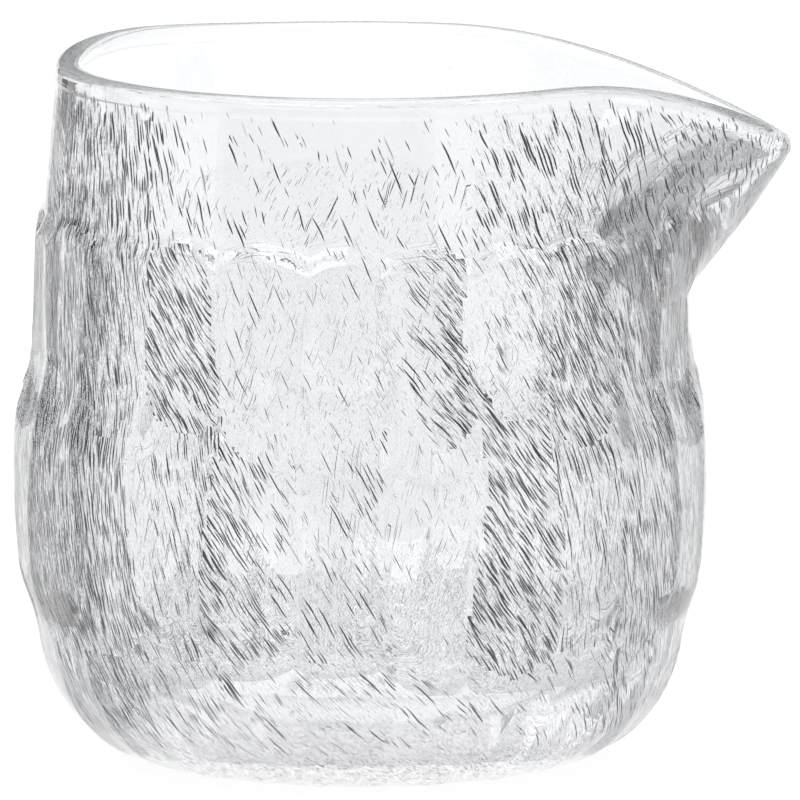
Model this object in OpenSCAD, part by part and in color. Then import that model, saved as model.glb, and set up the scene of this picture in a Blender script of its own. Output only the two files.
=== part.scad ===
// Spouted mixing glass: a squat glass with three rows of pressed facets below a
// plain collar, a fire-polished rim and a drooping pouring lip.
// The real object is one piece of glass. Each node is one region of that piece,
// and neighbouring regions meet face to face. The origin is the centre of the
// foot, +Z is up and the lip points along +X. All lengths are in millimetres.

/* [Overall] */
// Height from the foot to the top of the rim
height = 98.6; // [94:0.1:106]
// Number of facet columns round the body
columns = 24; // [16:2:32]

/* [Base] */
// Radius of the flat foot, to the middle of a facet
foot_r = 29; // [26:0.5:32]
// Thickness of the solid glass floor
floor_t = 6; // [5:0.5:9]
// Height of the seam between the foot row and the belly row
heel_z = 20.5; // [18:0.5:24]
// Radius of that seam, to the middle of a facet
heel_r = 46.2; // [45:0.1:47]

/* [Belly] */
// Radius of the widest level, to the middle of a facet
belly_r = 48.8; // [48:0.1:50]
// Height of the seam between the belly row and the shoulder row
waist_z = 57; // [54:0.5:60]
// Radius of that seam, to the middle of a facet
waist_r = 46.4; // [45.5:0.1:47]

/* [Shoulder] */
// Height of the ledge where the facets end
ledge_z = 77.4; // [75:0.1:80]
// Radius of the shoulder just below the ledge
ledge_r = 46; // [45.6:0.1:46.4]
// Radius of the rounding on the edge of the ledge
ledge_round = 0.9; // [0.4:0.1:0.9]

/* [Collar and rim] */
// Outer radius of the collar where it leaves the ledge
collar_r = 44.7; // [44:0.1:45]
// Outer radius of the rim
rim_r = 42.7; // [42:0.1:43.5]
// Wall thickness at the rim
rim_t = 3.3; // [2.8:0.1:3.8]
// Height of the smooth band at the rim
rim_band = 2.6; // [2.2:0.1:4]

/* [Pouring lip] */
// Angle from the lip's middle to where it leaves the round rim
lip_angle = 62; // [50:1:66]
// How far the lip reaches out beyond the round rim
lip_reach = 18; // [14:0.1:20]
// How far the rim droops at the tip
lip_drop = 12.3; // [8:0.1:14]
// Height where the keel under the lip leaves the shoulder
keel_z = 66; // [64:0.5:70]

/* [Hidden] */

glass = [0.86, 0.88, 0.90, 0.45];
pitch = 360 / columns;
slack = 1;                     // how far a cutting solid overshoots

// Inside of the glass: a rounded corner above the floor, then a smooth wall.
corner_r = 31;                 // where the floor starts to curve up
corner_top = [41.8, 15.5];
inside_wall = [[43.2, 22], [43.9, 30], [44, 38], [43.3, 50], [42.1, 64]];
inside_ledge_r = 41.2;
inside_rim_r = rim_r - rim_t;

// Rows of facets: points of the outline from the seam below to the seam above.
heel_steps = 8;
belly_steps = 10;
round_steps = 3;
heel = [for (i = [0 : heel_steps]) let (a = 90 * i / heel_steps)
    [foot_r + (heel_r - foot_r) * sin(a), heel_z * (1 - cos(a))]];
belly_row = [for (i = [1 : belly_steps]) let (t = i / belly_steps)
    [heel_r + (waist_r - heel_r) * t + bulge(t) * (belly_r - (heel_r + waist_r) / 2),
     heel_z + (waist_z - heel_z) * t]];
ledge_edge = [for (i = [0 : round_steps]) let (a = 90 * i / round_steps)
    [ledge_r - ledge_round * (1 - cos(a)), ledge_z - ledge_round * (1 - sin(a))]];
outline = concat(heel, belly_row, ledge_edge);

// 0 at both ends of a row and 1 in its middle, with a broad flat top.
function bulge(t) = 1 - pow(abs(2 * t - 1), 3);

// The lip: a falls from lip_angle at its root to 0 at its tip.
nose = 2;                      // rounding of the tip, in degrees
reach_power = 2.2;             // how pointed the lip is, seen from above
drop_power = 2.3;              // how suddenly the rim droops
inner_share = 0.94;            // reach of the channel against that of the outside
flare_power = 0.87;            // above 1 the flank under the lip is hollow, below 1 full
sections = 44;
channel_z = ledge_z + 0.5;     // where the channel starts to lead outwards
side_steps = 7;
rim_steps = 6;
function lip_share(a) = 1 - max(0, sqrt(a * a + nose * nose) - nose) /
    (sqrt(lip_angle * lip_angle + nose * nose) - nose);
function reach(a) = lip_reach * pow(lip_share(a), reach_power);
function rim_top(a) = height - lip_drop * pow(lip_share(a), drop_power);
function section_angle(i) = let (t = 2 * i / sections - 1)
    sign(t) * lip_angle * pow(abs(t), 1.5);

function mix(p, q, t) = p + (q - p) * t;
function outer_r(z) = mix(collar_r, rim_r, (z - ledge_z) / (height - ledge_z));
function inner_r(z) = mix(inside_ledge_r, inside_rim_r, (z - ledge_z) / (height - ledge_z));

// Outside and inside of the lip at angle a, where t runs from its foot to the rim.
function flank(a, t) = let (top = rim_top(a) - rim_t / 2, z = mix(keel_z, top, t))
    [outer_r(z) + reach(a) * pow(t, flare_power), z];
function channel(a, t) = let (top = rim_top(a) - rim_t / 2, z = mix(channel_z, top, t))
    [inner_r(z) + inner_share * reach(a) * t, z];

// Closed section of the lip at angle a: up the flank, over the rim, down the channel and
// on to a root inside the shoulder, which is cut away.
function section(a) = let (
    out = flank(a, 1), inn = channel(a, 1), mid = (out + inn) / 2, half = (out[0] - inn[0]) / 2)
    concat(
        [for (i = [0 : side_steps]) flank(a, i / side_steps)],
        [for (i = [1 : rim_steps - 1]) let (b = 180 * i / rim_steps)
            mid + [half * cos(b), rim_t / 2 * sin(b)]],
        [for (i = [0 : side_steps]) channel(a, 1 - i / side_steps)],
        [[inner_r(ledge_z - slack), ledge_z - slack]]);
section_points = 2 * (side_steps + 1) + rim_steps;

// Triangles that fill a section: the root, a strip between flank and channel, the rim.
filling = concat(
    [[0, section_points - 2, section_points - 1]],
    [for (i = [0 : side_steps - 1]) let (j = section_points - 2 - i) each
        [[i, i + 1, j], [i + 1, j - 1, j]]],
    [for (i = [1 : rim_steps - 1]) [side_steps, side_steps + i, side_steps + i + 1]]);

// A solid with flat facets whose upright outline is the given list of points.
module faceted(points) {
    halves = concat(points, [for (i = [len(points) - 1 : -1 : 0]) [-points[i][0], points[i][1]]]);
    intersection_for (i = [0 : columns / 2 - 1])
        rotate([90, 0, i * pitch])
            linear_extrude(height = 3 * belly_r, center = true) polygon(halves);
}

// The points of the outline from height low to height high.
function between(low, high) = [for (p = outline) if (p[1] >= low && p[1] <= high) p];

module hollow() {
    corner = [for (i = [0 : heel_steps]) let (a = 90 * i / heel_steps)
        [corner_r + (corner_top[0] - corner_r) * sin(a),
         floor_t + (corner_top[1] - floor_t) * (1 - cos(a))]];
    rotate_extrude($fn = 128)
        polygon(concat([[0, floor_t]], corner, inside_wall,
            [[inside_ledge_r, ledge_z], [inside_rim_r, height], [inside_rim_r, height + slack],
             [0, height + slack]]));
}

module wall(low, high) {
    difference() {
        faceted(between(low, high));
        hollow();
    }
}

// An outline turned round all of the glass but the sector that the lip takes.
module open_ring(points) {
    rotate([0, 0, lip_angle])
        rotate_extrude(angle = 360 - 2 * lip_angle, $fn = 128) polygon(points);
}

module base() { color(glass) wall(0, heel_z); }

module belly() { color(glass) wall(heel_z, waist_z); }

module shoulder() { color(glass) wall(waist_z, ledge_z); }

module collar() {
    top = height - rim_band;
    color(glass) open_ring([[inner_r(ledge_z), ledge_z], [outer_r(ledge_z), ledge_z],
        [outer_r(top), top], [inner_r(top), top]]);
}

module rim() {
    low = height - rim_band;
    high = height - rim_t / 2;
    middle = (outer_r(high) + inner_r(high)) / 2;
    half = (outer_r(high) - inner_r(high)) / 2;
    color(glass) open_ring(concat([[inner_r(low), low], [outer_r(low), low]],
        [for (i = [0 : rim_steps]) let (b = 180 * i / rim_steps)
            [middle + half * cos(b), high + rim_t / 2 * sin(b)]]));
}

module pouring_lip() {
    n = section_points;
    rings = [for (i = [0 : sections]) let (a = section_angle(i))
        [for (p = section(a)) [p[0] * cos(a), p[0] * sin(a), p[1]]]];
    sides = [for (i = [0 : sections - 1], j = [0 : n - 1])
        let (k = (j + 1) % n, p = i * n, q = (i + 1) * n) each
        [[p + j, q + k, q + j], [p + j, p + k, q + k]]];
    first = [for (f = filling) [f[0], f[2], f[1]]];
    last = [for (f = filling) [for (j = f) sections * n + j]];
    color(glass) difference() {
        polyhedron(points = [for (ring = rings) each ring], faces = concat(sides, first, last));
        faceted(between(waist_z, ledge_z));
    }
}

base();
belly();
shoulder();
collar();
rim();
pouring_lip();
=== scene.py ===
"""Looks for the spouted mixing glass: one seamless vessel of clear glass, with pressed
facets and fine scratches outside, a smooth inside, and a fire-polished rim and lip."""

import math

import bpy
import numpy as np
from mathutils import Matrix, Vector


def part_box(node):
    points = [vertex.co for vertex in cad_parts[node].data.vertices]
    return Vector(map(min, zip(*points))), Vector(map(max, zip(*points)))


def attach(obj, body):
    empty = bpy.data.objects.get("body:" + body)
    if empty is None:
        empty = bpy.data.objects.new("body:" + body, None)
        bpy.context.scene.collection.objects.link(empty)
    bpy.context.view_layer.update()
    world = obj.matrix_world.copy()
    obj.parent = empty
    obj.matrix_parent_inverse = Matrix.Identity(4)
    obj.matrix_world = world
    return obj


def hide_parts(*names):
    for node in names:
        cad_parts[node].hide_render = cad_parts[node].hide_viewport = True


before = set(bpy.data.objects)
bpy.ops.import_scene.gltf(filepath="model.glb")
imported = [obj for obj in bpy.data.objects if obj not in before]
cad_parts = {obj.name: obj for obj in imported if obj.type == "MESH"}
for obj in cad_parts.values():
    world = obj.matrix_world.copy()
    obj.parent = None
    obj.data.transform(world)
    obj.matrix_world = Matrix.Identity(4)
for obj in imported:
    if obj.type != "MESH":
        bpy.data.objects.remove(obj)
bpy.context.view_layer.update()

MM = 0.001

# ---------------------------------------------------------------- sizes from the frame
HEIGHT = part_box("rim")[1].z
LEDGE_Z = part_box("collar")[0].z
HEEL_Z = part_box("base")[1].z
WAIST_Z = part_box("belly")[1].z
TIP_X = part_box("pouring_lip")[1].x
COLLAR_R = -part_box("collar")[0].x
RIM_R = -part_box("rim")[0].x - 0.2 * MM    # without its bead
BELLY_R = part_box("belly")[1].y
HEEL_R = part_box("base")[1].y - 0.2 * MM

# ---------------------------------------------------------------- sizes that boxes don't give
COLUMNS = 24                     # facets round the body
FOOT_R = 29.0 * MM
FLOOR_T = 6.0 * MM
BELLY_Z = 40.0 * MM              # the widest level
BELLY_PROUD = 0.45 * MM          # the edges of the belly facets beyond the CAD radius there
BELLY_CURVE = 0.0042 / MM
SHOULDER_R = 46.75 * MM          # at the seam above the belly
SHOULDER_TAPER = 0.032
LEDGE_CURVE = 1.9 * MM           # how far the ledge sags at the edges of a facet
BELLY_BLEND, SHOULDER_BLEND = 11.0 * MM, 12.0 * MM  # heights over which the rows change
LEDGE_BLEND, LIP_BLEND = 3.6 * MM, 6.0 * MM         # the ledge, and how much softer on the lip

RIM_T = 3.3 * MM
RIM_SQUARE = 0.72                # 1 for a round rim, less for a flatter top
BEAD = 0.14 * MM                 # how far the rim's polished band stands out
BAND = 1.3 * MM                  # how far the band reaches below the rounded top
RISE = 1.2 * MM                  # the rim stands a little proud at the back left
RISE_AT, RISE_WIDTH = math.radians(135), math.radians(28)

LIP_ANGLE = math.radians(62)     # from the lip's middle to where it leaves the round rim
LIP_NOSE = math.radians(5)       # rounding of its tip
LIP_REACH = TIP_X - RIM_R - 1.3 * MM  # the taper of the collar adds the rest
LIP_DROP = 12.3 * MM
REACH_POWER, DROP_POWER = 2.2, 2.3
TIP_THICKER = 0.35               # the rim swells at the tip of the lip
KEEL_Z = 66.0 * MM               # where the keel under the lip leaves the shoulder
FLARE_POWER = 0.87               # below 1 the flank under the lip is full
CURL, CURL_POWER = 0.062, 14     # the flank turns up just under the rim
CHANNEL_SHARE = 0.94             # reach of the channel against that of the outside

# Inside of the glass, from the top of its rounded corner to the rim.
INSIDE_Z = np.array([15.5, 22, 30, 38, 50, 64, 77.4, 88, 98.6]) * MM
INSIDE_R = np.array([41.8, 43.2, 43.85, 43.9, 43.2, 42.1, 41.1, 40.25, 39.4]) * MM
CORNER_R = 31.5 * MM             # where the flat floor ends
CORNER_EASE = 1.5                # above 1 the corner leaves the floor with a firmer bend

# ---------------------------------------------------------------- mesh density
AROUND = 18 * COLUMNS            # corners in a ring of the outside
HEEL_STEP, STEP = 0.8 * MM, 0.66 * MM    # heights of its cells, on the heel and above
FINE_BELOW, FINE_STEPS = 3.0 * MM, 12    # smaller cells just under the rim
RIM_STEPS, WALL_STEPS, CORNER_STEPS = 10, 48, 22


def smooth(t):
    """0 below 0, 1 above 1, and smooth between."""
    t = np.clip(t, 0.0, 1.0)
    return t * t * (3.0 - 2.0 * t)


def above(z, level, length):
    """0 below a level and 1 above it, changing smoothly over the given length."""
    return smooth((z - level) / length + 0.5)


def angle_from(angle, middle):
    """The angle on from a middle, between half a turn back and half a turn on."""
    return (angle - middle + math.pi) % (2 * math.pi) - math.pi


# ---------------------------------------------------------------- the pouring lip
def lip_share(angle):
    """1 at the lip's middle, falling to 0 where it leaves the round rim."""
    soft = np.sqrt(angle_from(angle, 0.0) ** 2 + LIP_NOSE ** 2) - LIP_NOSE
    edge = math.sqrt(LIP_ANGLE ** 2 + LIP_NOSE ** 2) - LIP_NOSE
    return np.clip(1.0 - soft / edge, 0.0, 1.0)


def lip_reach(angle):
    return LIP_REACH * lip_share(angle) ** REACH_POWER


def rim_middle(angle):
    """Height of the middle of the rounded rim. It droops along the lip."""
    rise = RISE * np.exp(-(angle_from(angle, RISE_AT) / RISE_WIDTH) ** 2)
    return HEIGHT - LIP_DROP * lip_share(angle) ** DROP_POWER + rise - RIM_T / 2


def drooped(angle, z, start):
    """Share of the way from a starting level to the rim, and the height there once the rim
    droops, where z is the height on the side away from the lip."""
    full = HEIGHT - RIM_T / 2
    share = np.clip((z - start) / (full - start), 0.0, 1.0)
    return share, np.where(z > start, start + (rim_middle(angle) - start) * share, z)


# ---------------------------------------------------------------- the facets
ROWS = 4
FOOT, BELLY, SHOULDER, COLLAR = range(ROWS)
PITCH = 2 * math.pi / COLUMNS
rng = np.random.default_rng(7)


def for_each_facet(low, high):
    return rng.uniform(low, high, (ROWS, COLUMNS))


hollow_of = for_each_facet(-0.10, 0.20) * MM    # extra depth in its middle
lean_of = for_each_facet(-0.14, 0.14) * MM      # one edge prouder than the other
end_of = for_each_facet(-1.6, 1.6) * MM         # its lower end above the usual height
slant_of = for_each_facet(14, 34)               # lean of its scratches, in degrees
# Tone is how thickly a facet is scratched and also how dark it is painted: painted shade, facet by
# facet.
tone_of = for_each_facet(0.35, 0.85)            # how thickly it is scratched
# Fade makes one edge of a facet more scratched and darker: painted shade across the facet.
fade_of = for_each_facet(-0.3, 0.6)             # how much thicker at one edge
tip_of = for_each_facet(-0.35, 0.35)            # where across it its end is lowest

hollow_of[COLLAR] = 0.0
lean_of[COLLAR] *= 0.06
end_of[SHOULDER] *= 0.6
end_of[SHOULDER, 15], end_of[SHOULDER, 19] = 1.8 * MM, 3.6 * MM
end_of[COLLAR] *= 0.3

# Frost is the haze of the finest scratches, painted dark: partly real haze and partly painted shade.
# Both it and the larger ones thin out towards the back, with a gradual change at the sides.
BACK_COLUMN = 6.5
from_back = np.abs(np.arange(COLUMNS) - BACK_COLUMN)
front_share = smooth((from_back - 2.5) / 4.0)
frost_and_shade_of = tone_of * (0.45 + 0.55 * front_share)
tone_of *= 0.33 + 0.67 * front_share

# The facets at the front, from column 13 at the left: tone, fade and slant. The tones and fades make
# facets and edges darker and lighter: painted shade along with the scratches.
FRONT_COLUMN = 13
FRONT = {
    COLLAR: ((1.60, 0.1, 4), (1.50, 0.2, 7), (0.55, 0.7, 12), (0.28, 0.2, 16), (0.22, 0.0, 16),
             (0.28, 0.0, 16), (0.58, -0.4, 15), (0.62, 0.0, 14), (0.78, 0.0, 12), (0.75, 0.0, 10)),
    SHOULDER: ((1.35, 0.0, 8), (1.00, 0.3, 12), (1.30, 0.1, 37), (0.16, 0.0, 26), (0.12, -0.3, 26),
               (0.70, -1.0, 40), (0.36, -0.4, 28), (1.25, 0.1, 28), (1.00, 0.0, 18), (1.10, 0.0, 12)),
    BELLY: ((1.50, 0.0, 7), (1.50, 0.2, 8), (0.46, -0.6, 14), (0.85, 0.8, 32), (0.36, -0.3, 28),
            (0.08, -0.2, 24), (1.30, 0.4, 35), (0.50, 0.2, 12), (1.00, 0.0, 16), (0.30, 0.0, 10)),
    FOOT: ((1.10, 0.0, 14), (1.00, 0.2, 20), (0.50, 0.0, 28), (0.40, 0.1, 38), (0.25, 0.0, 44),
           (0.36, 0.0, 46), (0.24, 0.2, 44), (0.40, 0.0, 36), (0.80, 0.0, 28), (0.60, 0.0, 20)),
}
for row, facets in FRONT.items():
    for column, facet_looks in enumerate(facets, FRONT_COLUMN):
        tone_of[row, column], fade_of[row, column], slant_of[row, column] = facet_looks

# Column 0 is the middle of the lip. Its far side and the back of the collar are polished,
# and so is the foot at the back, but for its frost.
tone_of[COLLAR, 23], tone_of[COLLAR, 0], tone_of[COLLAR, 1] = 0.72, 0.60, 0.0
slant_of[COLLAR, 23], slant_of[COLLAR, 0] = 8, 4
tone_of[COLLAR, 2:12] = -0.30
tone_of[FOOT, 1:13] = 0.15

# Frost is thick round the back of the foot and at the left and right, and thin elsewhere. This paints
# the base and the sides grey: painted shade.
frost_and_shade_of[FOOT, 1:13] = 1.5
frost_and_shade_of[:, 13:15] *= 1.7
frost_and_shade_of[BELLY, 16:19] *= 0.6
frost_and_shade_of[SHOULDER, 16:18] *= 0.6
frost_and_shade_of[BELLY:COLLAR, 10:13] = 0.9, 1.1, 1.3
frost_and_shade_of[BELLY:COLLAR, 22:] = 1.1
frost_and_shade_of[BELLY:COLLAR, 0] = 1.1
frost_and_shade_of[COLLAR, :12] = 0.0
frost_and_shade_of[COLLAR, 15:19] = 0.05
frost_and_shade_of[COLLAR, 21:] = 0.1

# On the collar the scratches are broader, and on the lip they shorten into flecks.
LIP_COLUMNS = (22, 23, 0, 1, 2)
narrow_of, short_of = np.ones((ROWS, COLUMNS)), np.ones((ROWS, COLUMNS))
narrow_of[COLLAR] = 0.65
narrow_of[COLLAR, LIP_COLUMNS], short_of[COLLAR, LIP_COLUMNS] = 0.50, 1.9

# The rounded lower ends of the facets: lowest height, and how far they curve up to their
# edges. The scratches end in rounder arcs than the glass does.
GLASS_ENDS = {BELLY: (20.5 * MM, 4.0 * MM), SHOULDER: (51.0 * MM, 7.0 * MM)}
SCRATCH_ENDS = {BELLY: (19.0 * MM, 9.0 * MM), SHOULDER: (50.0 * MM, 15.0 * MM)}
END_ROUND = 0.92                 # 1 for a half circle, less for a flatter arc
FACET_DEPTH = 0.30 * MM
FOOT_DEEPER = 0.8                # the foot's facets are deeper towards the bottom
FOOT_DEEPER_Z = 8.0 * MM
WAVER = 0.10                     # how far the edges between columns waver, in columns
WAVE, WAVE_FROM = 7.0 * MM, 15.0 * MM


def panel(angle, z):
    """Column number and place across it, from -1 to 1. The edges between columns waver."""
    turns = angle / PITCH
    wave = np.sin(z / WAVE + 2.4 * np.round(turns - 0.5)) * smooth(z / WAVE_FROM)
    turns = turns + WAVER * wave * np.sin(math.pi * turns) ** 2
    column = np.round(turns).astype(int)
    return column % COLUMNS, 2.0 * (turns - column)


def lower_end(ends, row, column, across):
    """Height of the rounded lower end of a facet."""
    lowest, curve = ends[row]
    tip = tip_of[row, column]
    aside = (across - tip) / (1.0 + np.abs(tip))
    arc = 1.0 - np.sqrt(np.clip(1.0 - END_ROUND * aside ** 2, 0.0, 1.0))
    return lowest + curve * arc + end_of[row, column]


def dip(row, column, across):
    """How far a facet lies inside its edges."""
    depth = FACET_DEPTH + hollow_of[row, column]
    return depth * (1.0 - across ** 2) + lean_of[row, column] * across


def body_radius(angle, z):
    """Outer radius of the faceted body at height z, without the lip."""
    column, across = panel(angle, z)
    heel = np.sin(np.arccos(np.clip(1.0 - z / HEEL_Z, 0.0, 1.0)))
    deeper = 1.0 + FOOT_DEEPER * (1.0 - smooth(z / FOOT_DEEPER_Z))
    foot = FOOT_R + (HEEL_R - FOOT_R) * heel - dip(FOOT, column, across) * deeper
    belly = BELLY_R + BELLY_PROUD - BELLY_CURVE * (z - BELLY_Z) ** 2 - dip(BELLY, column, across)
    shoulder = SHOULDER_R - SHOULDER_TAPER * (z - WAIST_Z) - dip(SHOULDER, column, across)
    collar = COLLAR_R + (RIM_R - COLLAR_R) * (z - LEDGE_Z) / (HEIGHT - LEDGE_Z)
    collar = collar - lean_of[COLLAR, column] * across

    belly_end = lower_end(GLASS_ENDS, BELLY, column, across)
    shoulder_end = lower_end(GLASS_ENDS, SHOULDER, column, across)
    ledge = LEDGE_Z - 0.2 * MM - LEDGE_CURVE * across ** 2 + end_of[COLLAR, column]
    ledge_blend = LEDGE_BLEND + LIP_BLEND * smooth(lip_reach(angle) / (4 * MM))
    r = foot + (belly - foot) * above(z, belly_end, BELLY_BLEND)
    r = r + (shoulder - r) * above(z, shoulder_end, SHOULDER_BLEND)
    return r + (collar - r) * above(z, ledge, ledge_blend)


def row_of(angle, z):
    """Which row of scratched facets a point lies in, and which column."""
    column, across = panel(angle, z)
    row = (z > lower_end(SCRATCH_ENDS, BELLY, column, across)).astype(int)
    row += z > lower_end(SCRATCH_ENDS, SHOULDER, column, across)
    row += z > LEDGE_Z + 0.3 * MM - 1.6 * MM * across ** 2
    return row, column


# ---------------------------------------------------------------- outside and inside
inner_wall = np.polynomial.Polynomial.fit(INSIDE_Z, INSIDE_R, 4)


def outside(angle, z):
    """Radius and true height of the outside, where z is the height away from the lip."""
    share, true_z = drooped(angle, z, KEEL_Z)
    flare = (share ** FLARE_POWER - CURL * share ** CURL_POWER) / (1.0 - CURL)
    bead = BEAD * smooth((true_z - rim_middle(angle) + BAND) / (0.5 * MM))
    return body_radius(angle, true_z) + lip_reach(angle) * flare + bead, true_z


def inside(angle, z):
    """Radius and true height of the inside, above its rounded corner."""
    share, true_z = drooped(angle, z, LEDGE_Z)
    return inner_wall(true_z) + CHANNEL_SHARE * lip_reach(angle) * share, true_z


# ---------------------------------------------------------------- what the scratches follow
def distance_along(rings):
    """Distance along the outline to each ring: out over the foot, up and back down inside."""
    outline = np.array([(np.hypot(p[:, 0], p[:, 1]).mean(), p[:, 2].mean()) for p in rings])
    return np.concatenate([[0.0], np.cumsum(np.hypot(*np.diff(outline, axis=0).T))])


def depth_below_rim(points):
    """In millimetres. It counts double at the tip of the lip, where less of it is clean."""
    angle = np.arctan2(points[:, 1], points[:, 0])
    rim_top = rim_middle(angle) + RIM_T / 2
    return (rim_top - points[:, 2]) / MM * (1.0 + lip_share(angle) ** 2)


def read_all(items, field, width=1, kind=float):
    values = np.empty(len(items) * width, kind)
    items.foreach_get(field, values)
    return values.reshape(-1, width) if width > 1 else values


def add_attribute(mesh, name, domain, values):
    kind, field = ("FLOAT_VECTOR", "vector") if values.ndim > 1 else ("FLOAT", "value")
    attribute = mesh.attributes.new(name, kind, domain)
    attribute.data.foreach_set(field, values.astype(np.float32).ravel())


FACET_APART = 31.7               # keeps the scratches of neighbouring facets from lining up


def add_scratch_attributes(mesh, along, below):
    """Four attributes: strokes is the place across and along the scratches in millimetres,
    moved on for each facet, below_rim is the depth below the rim, and the frost and the tone say how
    thick the haze and the scratches are, and so how dark they are painted, as painted shade.
    At the foot the scratches give way to frost, painted grey: painted shade where the glass
    stands on the floor."""
    vertex = read_all(mesh.loops, "vertex_index", kind=int)
    co = read_all(mesh.vertices, "co", 3)[vertex]
    centres = read_all(mesh.polygons, "center", 3)
    row, column = row_of(np.arctan2(centres[:, 1], centres[:, 0]), centres[:, 2])
    corners = read_all(mesh.polygons, "loop_total", kind=int)
    facet = np.repeat(row, corners), np.repeat(column, corners)

    turn = angle_from(np.arctan2(co[:, 1], co[:, 0]), facet[1] * PITCH)
    x = np.hypot(co[:, 0], co[:, 1]) * turn / MM * narrow_of[facet]
    y = along[vertex] / MM * short_of[facet]
    slant = np.radians(slant_of[facet])
    apart = (facet[0] * COLUMNS + facet[1]) * FACET_APART
    strokes = np.stack([x * np.cos(slant) + y * np.sin(slant) + apart,
                        y * np.cos(slant) - x * np.sin(slant) + apart, 0 * x], axis=1)
    fade = 1.0 - fade_of[facet] * 2 * turn / PITCH
    # Near the bottom the frost thickens and paints the foot grey: painted shade where the glass
    # stands on the floor.
    at_foot = 1.0 - smooth((co[:, 2] - 3 * MM) / (6 * MM))
    frost_and_shade = np.clip(frost_and_shade_of[facet] * fade + 1.3 * at_foot, 0.0, 1.7)
    tone = np.clip(tone_of[facet] * fade, -0.5, 1.6)
    add_attribute(mesh, "strokes", "CORNER", strokes)
    add_attribute(mesh, "below_rim", "POINT", below)
    add_attribute(mesh, "frost_and_shade", "CORNER", frost_and_shade)
    add_attribute(mesh, "tone", "CORNER", tone * (1.0 - at_foot) - 0.2 * at_foot)


# ---------------------------------------------------------------- the closed glass mesh
def angles(n):
    return np.arange(n) * 2 * math.pi / n


def ring(angle, r, z):
    return np.stack([r * np.cos(angle), r * np.sin(angle), z + 0 * angle], axis=1)


def disc(radius, z, steps):
    """Rings of a flat disc: how many times fewer corners each has, and its share of the
    radius."""
    return [ring(angles(AROUND // fewer), radius * share, z) for fewer, share in steps]


def foot_rings():
    return disc(FOOT_R - 1.2 * MM, 0.0, ((16, 0.12), (8, 0.3), (4, 0.55), (2, 0.8), (1, 0.96)))


def outside_rings():
    top = HEIGHT - RIM_T / 2
    fine_from = top - FINE_BELOW
    heel_steps = int(1.15 * math.hypot(HEEL_R - FOOT_R, HEEL_Z) / HEEL_STEP)
    heel = HEEL_Z * (1.0 - np.cos(math.pi / 2 * np.arange(heel_steps) / heel_steps))
    body = np.linspace(HEEL_Z, fine_from, int((fine_from - HEEL_Z) / STEP))
    fine = np.linspace(fine_from, top, FINE_STEPS + 1)[1:]
    a = angles(AROUND)
    return [ring(a, *outside(a, z)) for z in np.concatenate([heel, body, fine])]


def rim_rings():
    """The rounded rim, between the tops of the outside and the inside."""
    a = angles(AROUND)
    r_out, z = outside(a, HEIGHT - RIM_T / 2)
    r_in, _ = inside(a, HEIGHT - RIM_T / 2)
    thick = RIM_T / 2 * (1 + TIP_THICKER * lip_share(a) ** 4)
    rings = []
    for turn in math.pi * np.arange(1, RIM_STEPS) / RIM_STEPS:
        across = math.copysign(abs(math.cos(turn)) ** RIM_SQUARE, math.cos(turn))
        up = math.sin(turn) ** RIM_SQUARE
        rings.append(ring(a, (r_out + r_in) / 2 + (r_out - r_in) / 2 * across, z + thick * up))
    return rings


def inside_rings():
    """From the rim down the wall, round the corner and across the floor."""
    a = angles(AROUND)
    top, corner_z = HEIGHT - RIM_T / 2, INSIDE_Z[0]
    rings = [ring(a, *inside(a, top))]
    b = angles(AROUND // 2)
    for i in range(1, WALL_STEPS + 1):
        rings.append(ring(b, *inside(b, top + (corner_z - top) * i / WALL_STEPS)))
    across, up = inner_wall(corner_z) - CORNER_R, corner_z - FLOOR_T
    for i in range(1, CORNER_STEPS + 1):
        t = math.pi / 2 * (1.0 - i / CORNER_STEPS)
        rings.append(ring(b, CORNER_R + across * math.sin(t) ** CORNER_EASE,
                          FLOOR_T + up * (1.0 - math.cos(t) ** CORNER_EASE)))
    return rings + disc(CORNER_R, FLOOR_T, ((2, 0.8), (4, 0.6), (8, 0.35), (16, 0.15)))


def stitch(first, n, second, m):
    """Faces between two rings that start at these corners, where m is n, 2n or n / 2."""
    if n > m:
        return [face[::-1] for face in stitch(second, m, first, n)]
    faces = []
    for i in range(n):
        j = (i + 1) % n
        if n == m:
            faces.append((first + i, first + j, second + j, second + i))
            continue
        start, middle, end = (second + k % m for k in (2 * i, 2 * i + 1, 2 * i + 2))
        faces += [(first + i, middle, start), (first + i, first + j, middle),
                  (first + j, end, middle)]
    return faces


def link_object(name, data):
    obj = bpy.data.objects.new(name, data)
    bpy.context.scene.collection.objects.link(obj)
    return obj


def build_glass():
    """Rings of corners from the middle of the foot, up the outside, over the rim and down
    the inside to the middle of the floor, joined into one closed mesh."""
    foot, scratched = foot_rings(), outside_rings()
    rings = foot + scratched + rim_rings() + inside_rings()
    sizes = [len(points) for points in rings]
    starts = np.cumsum([1] + sizes).tolist()
    floor_middle = starts.pop()
    points = np.concatenate([[(0.0, 0.0, 0.0)], *rings, [(0.0, 0.0, FLOOR_T)]])
    faces = [(0, starts[0] + (i + 1) % sizes[0], starts[0] + i) for i in range(sizes[0])]
    for k in range(len(rings) - 1):
        faces += stitch(starts[k], sizes[k], starts[k + 1], sizes[k + 1])
    faces += [(starts[-1] + i, starts[-1] + (i + 1) % sizes[-1], floor_middle)
              for i in range(sizes[-1])]
    mesh = bpy.data.meshes.new("glass_vessel")
    mesh.from_pydata(points.tolist(), [], faces)
    mesh.update()
    for polygon in mesh.polygons:
        polygon.use_smooth = True

    along = np.repeat([0.0, *distance_along(rings), 0.0], [1, *sizes, 1])
    below = np.zeros(len(points))
    low, high = starts[len(foot)], starts[len(foot + scratched)]
    below[low:high] = depth_below_rim(points[low:high])
    add_scratch_attributes(mesh, along, below)
    return link_object("glass_vessel", mesh)


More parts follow.
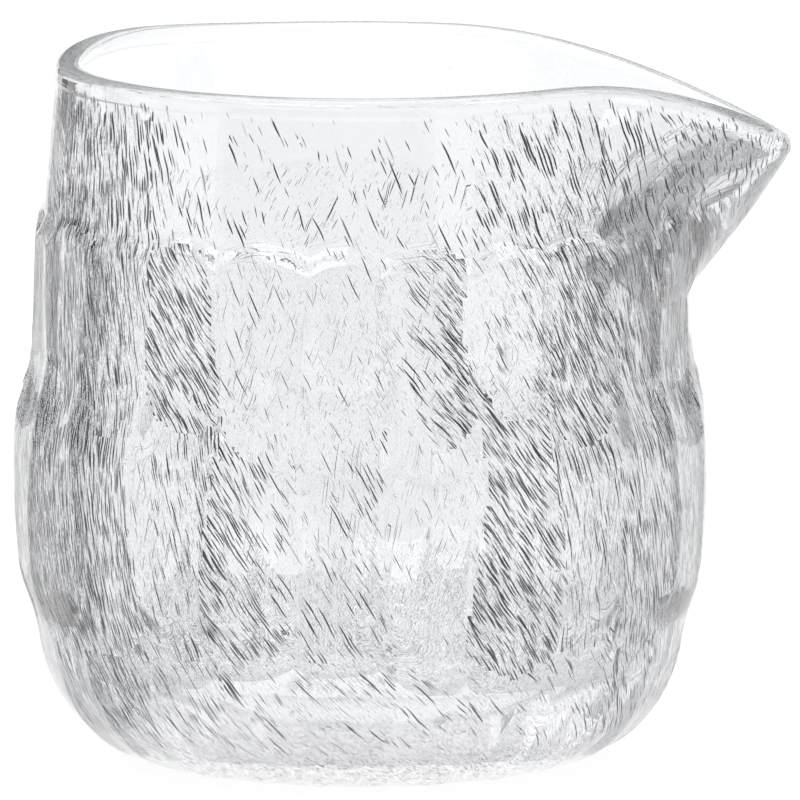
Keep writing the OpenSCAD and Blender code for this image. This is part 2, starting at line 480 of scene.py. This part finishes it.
# ---------------------------------------------------------------- helpers for materials
def new_material(name):
    mat = bpy.data.materials.new(name)
    mat.use_nodes = True
    return mat, mat.node_tree, mat.node_tree.nodes["Principled BSDF"]


def fill(tree, socket, value):
    """Sets a socket, or links it where the value is another node's output."""
    if isinstance(value, bpy.types.NodeSocket):
        tree.links.new(value, socket)
    else:
        socket.default_value = value


def add_math(tree, operation, *values):
    node = tree.nodes.new("ShaderNodeMath")
    node.operation = operation
    for socket, value in zip(node.inputs, values):
        fill(tree, socket, value)
    return node.outputs[0]


def multiply(tree, a, b):
    return add_math(tree, "MULTIPLY", a, b)


def multiply_add(tree, a, b, c):
    return add_math(tree, "MULTIPLY_ADD", a, b, c)


def ramp_between(tree, value, low, high):
    """0 where the value is low and 1 where it is high."""
    node = tree.nodes.new("ShaderNodeMapRange")
    node.interpolation_type = "SMOOTHSTEP"
    fill(tree, node.inputs["Value"], value)
    node.inputs["From Min"].default_value = low
    node.inputs["From Max"].default_value = high
    return node.outputs["Result"]


def read_attribute(tree, name, output="Fac"):
    node = tree.nodes.new("ShaderNodeAttribute")
    node.attribute_name = name
    return node.outputs[output]


def cells(tree, vector, width, length, seed):
    """The stroke coordinates in units of one cell, width and length in millimetres."""
    mapping = tree.nodes.new("ShaderNodeMapping")
    mapping.inputs["Scale"].default_value = (1 / width, 1 / length, 1.0)
    mapping.inputs["Location"].default_value = (seed * 13.1, seed * 7.7, 0.0)
    tree.links.new(vector, mapping.inputs["Vector"])
    return mapping.outputs["Vector"]


def noise(tree, vector, width, length, seed, output="Fac"):
    node = tree.nodes.new("ShaderNodeTexNoise")
    node.noise_dimensions = "2D"
    node.inputs["Scale"].default_value = 1.0
    node.inputs["Detail"].default_value = 1.0
    tree.links.new(cells(tree, vector, width, length, seed), node.inputs["Vector"])
    return node.outputs[output]


# ---------------------------------------------------------------- scratched glass
# Scratches in three sizes: width and length of a cell in millimetres, a seed, how much their
# size varies and the most it reaches, and how it follows the tone or the frost.
LONG = dict(width=0.46, length=11.0, seed=1, spread=0.75, most=0.29, gain=0.58, start=-0.60)
SHORT = dict(width=0.33, length=5.0, seed=2, spread=0.75, most=0.34, gain=0.68, start=-0.66)
GRAIN = dict(width=0.22, length=2.4, seed=3, spread=0.60, most=0.40, gain=0.60, start=-0.53)
SCRATCH_DEPTH = 0.08 * MM
CLEAR = (0.935, 0.941, 0.952, 1)
# Painted shade: the near-black colour the scratches and the haze are painted with.
GROOVE_SHADE = (0.0022, 0.0025, 0.0032, 1)


def dashes(tree, vector, tone, width, length, seed, spread, most, gain, start):
    """Separate tapered dashes, at most one in each cell. Their size is in cells."""
    cell = tree.nodes.new("ShaderNodeTexVoronoi")
    cell.voronoi_dimensions = "2D"
    cell.inputs["Scale"].default_value = 1.0
    tree.links.new(cells(tree, vector, width, length, seed), cell.inputs["Vector"])
    pick = tree.nodes.new("ShaderNodeSeparateColor")
    tree.links.new(cell.outputs["Color"], pick.inputs["Color"])
    size = multiply_add(tree, pick.outputs["Red"], spread, multiply_add(tree, tone, gain, start))
    size = add_math(tree, "MAXIMUM", add_math(tree, "MINIMUM", size, most), 0.01)
    shape = ramp_between(tree, add_math(tree, "DIVIDE", cell.outputs["Distance"], size), 1.0, 0.45)
    return multiply(tree, shape, multiply_add(tree, pick.outputs["Green"], 0.75, 0.25))


def combed(tree, vector):
    """The stroke coordinates bent a little, so that the strokes run like combed hair."""
    bent = tree.nodes.new("ShaderNodeVectorMath")
    bent.operation = "MULTIPLY_ADD"
    tree.links.new(noise(tree, vector, 5.0, 7.0, 0, "Color"), bent.inputs[0])
    bent.inputs[1].default_value = (0.9, 0.0, 0.0)
    tree.links.new(vector, bent.inputs[2])
    return bent.outputs["Vector"]


def scratch_layers(tree):
    """How deep each point lies in the large scratches and in the grain, and how thick the haze is,
    which adds only painted shade.
    """
    vector = combed(tree, read_attribute(tree, "strokes", "Vector"))
    # Patches a few millimetres wide are scratched more thickly than the rest.
    uneven = multiply_add(tree, noise(tree, vector, 3.0, 6.0, 5), 1.2, 0.4)
    tone = multiply(tree, read_attribute(tree, "tone"), uneven)
    frost_and_shade = multiply(tree, read_attribute(tree, "frost_and_shade"), uneven)
    # The scratches stop in a ragged edge a few millimetres below the rim.
    ragged = noise(tree, vector, 1.2, 2.5, 4)
    edge = multiply_add(tree, ragged, 6.0, read_attribute(tree, "below_rim"))
    covered = ramp_between(tree, edge, 5.5, 7.0)

    deep = add_math(tree, "MAXIMUM", dashes(tree, vector, tone, **LONG),
                    dashes(tree, vector, tone, **SHORT))
    light = dashes(tree, vector, frost_and_shade, **GRAIN)
    # The haze has no bump; it only darkens the colour, as painted shade.
    speckle = ramp_between(tree, noise(tree, vector, 0.15, 0.55, 12), 0.42, 0.72)
    haze_shade = multiply(tree, speckle, frost_and_shade)
    return [multiply(tree, layer, covered) for layer in (deep, light, haze_shade)]


def glass_material():
    mat, tree, shader = new_material("scratched_glass")
    deep, light, haze_shade = scratch_layers(tree)

    bump = tree.nodes.new("ShaderNodeBump")
    bump.inputs["Strength"].default_value = 1.0
    bump.inputs["Distance"].default_value = SCRATCH_DEPTH
    depth = multiply_add(tree, light, 0.45, deep)
    tree.links.new(multiply(tree, depth, -1.0), bump.inputs["Height"])
    tree.links.new(bump.outputs["Normal"], shader.inputs["Normal"])

    # The bottom of a groove is ground glass, painted here nearly black: painted shade for the dark
    # surroundings that real grooves bend into view. The haze adds painted shade of its own.
    painted_shade = multiply_add(tree, light, 0.60, multiply(tree, deep, 2.2))
    painted_shade = multiply_add(tree, haze_shade, 0.40, painted_shade)
    tint = tree.nodes.new("ShaderNodeMix")
    tint.data_type = "RGBA"
    tint.clamp_factor = True
    tint.inputs["A"].default_value = CLEAR
    tint.inputs["B"].default_value = GROOVE_SHADE
    tree.links.new(painted_shade, tint.inputs["Factor"])
    tree.links.new(tint.outputs["Result"], shader.inputs["Base Color"])
    shader.inputs["Roughness"].default_value = 0.0
    shader.inputs["IOR"].default_value = 1.5
    shader.inputs["Transmission Weight"].default_value = 1.0

    # Thick glass, as in the base, takes a little light on the way through.
    absorb = tree.nodes.new("ShaderNodeVolumeAbsorption")
    absorb.inputs["Color"].default_value = (0.0, 0.04, 0.10, 1)
    absorb.inputs["Density"].default_value = 1.5
    tree.links.new(absorb.outputs["Volume"], tree.nodes["Material Output"].inputs["Volume"])
    return mat


glass = build_glass()
glass.data.materials.append(glass_material())
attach(glass, "root")
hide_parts("base", "belly", "shoulder", "collar", "rim", "pouring_lip")


# ---------------------------------------------------------------- stage
def glowing(name, colour, strength):
    """A matt surface that also gives off white light."""
    mat, _, shader = new_material(name)
    shader.inputs["Base Color"].default_value = (*colour, 1)
    shader.inputs["Roughness"].default_value = 0.9
    shader.inputs["Emission Color"].default_value = (1, 1, 1, 1)
    shader.inputs["Emission Strength"].default_value = strength
    return mat


def stage_object(name, points, faces, material):
    mesh = bpy.data.meshes.new(name)
    mesh.from_pydata(points, [], faces)
    mesh.materials.append(material)
    obj = link_object(name, mesh)
    return obj


def build_floor(half=6.0):
    corners = [(-half, -half, 0), (half, -half, 0), (half, half, 0), (-half, half, 0)]
    stage_object("floor", corners, [(0, 1, 2, 3)], glowing("pale_floor", (0.25, 0.25, 0.25), 0.89))


def build_panels(name, radius, low, high, sectors, material):
    """Upright curved panels round the glass, beyond the picture, that are seen only in the
    glass. A sector is the degrees where a panel starts and ends, and its number of steps."""
    points, faces = [], []
    for start, end, steps in sectors:
        first = len(points)
        for turn in np.radians(np.linspace(start, end, steps + 1)).tolist():
            x, y = radius * math.cos(turn), radius * math.sin(turn)
            points += [(x, y, low), (x, y, high)]
        for k in range(first, first + 2 * steps, 2):
            faces.append((k, k + 2, k + 3, k + 1))
    obj = stage_object(name, points, faces, material)
    obj.visible_camera = False
    obj.visible_diffuse = False
    obj.visible_shadow = False


def build_world():
    """White at the horizon, a dark band above it, mid grey over that and a bright top."""
    world = bpy.data.worlds.new("studio")
    world.use_nodes = True
    nodes, links = world.node_tree.nodes, world.node_tree.links
    coord = nodes.new("ShaderNodeTexCoord")
    split = nodes.new("ShaderNodeSeparateXYZ")
    links.new(coord.outputs["Generated"], split.inputs[0])
    ramp = nodes.new("ShaderNodeValToRGB")
    ramp.color_ramp.interpolation = "EASE"
    links.new(split.outputs["Z"], ramp.inputs["Fac"])
    stops = ramp.color_ramp.elements
    stops[0].position, stops[0].color = 0.0, (1.0, 1.0, 1.0, 1)
    stops[1].position, stops[1].color = 0.05, (1.0, 1.0, 1.0, 1)
    for place, grey in ((0.14, 0.13), (0.40, 0.13), (0.52, 0.55), (0.82, 0.55), (0.90, 1.8)):
        stops.new(place).color = (grey, grey, grey * 1.01, 1)
    links.new(ramp.outputs["Color"], nodes["Background"].inputs["Color"])
    nodes["Background"].inputs["Strength"].default_value = 1.0
    bpy.context.scene.world = world


# Dark cards stand round the glass, as on a bright-field glass set, and bright panels hang
# high in front of it, for the glints on its ledge, rim and lip.
DARK_SECTORS = ((100, 118, 6), (150, 158, 2), (205, 285, 26), (345, 400, 18))
BRIGHT_SECTORS = ((182, 196, 6), (214, 256, 6), (300, 322, 6), (334, 348, 6))
build_floor()
build_panels("dark_cards", 0.66, 0.002, 0.55, DARK_SECTORS,
             glowing("grey_card", (0.02, 0.02, 0.022), 0.10))
build_panels("softbox", 0.60, 0.32, 0.60, BRIGHT_SECTORS,
             glowing("softbox_light", (0.02, 0.02, 0.02), 3.5))
build_world()


# ---------------------------------------------------------------- camera
AZIMUTH, ELEVATION, DISTANCE = math.radians(-12.0), math.radians(9.1), 1.8
AIM_RIGHT, AIM_UP = 5.5 * MM, 50.0 * MM


def build_camera():
    aim = np.array([AIM_RIGHT * math.cos(AZIMUTH), AIM_RIGHT * math.sin(AZIMUTH), AIM_UP])
    way = np.array([math.sin(AZIMUTH) * math.cos(ELEVATION),
                    -math.cos(AZIMUTH) * math.cos(ELEVATION), math.sin(ELEVATION)])
    cam = bpy.data.cameras.new("camera")
    cam.lens = 573.0
    cam.sensor_width = 36.0
    cam.clip_start = 0.05
    obj = link_object("camera", cam)
    obj.location = aim + way * DISTANCE
    obj.rotation_euler = (math.pi / 2 - ELEVATION, 0.0, AZIMUTH)
    bpy.context.scene.camera = obj


build_camera()
scene = bpy.context.scene
scene.view_settings.view_transform = "Standard"
# Light is passed on many times inside thick glass. Fewer bounces leave the rim black.
BOUNCES = 48
scene.cycles.max_bounces = BOUNCES
scene.cycles.transmission_bounces = BOUNCES
scene.cycles.glossy_bounces = BOUNCES
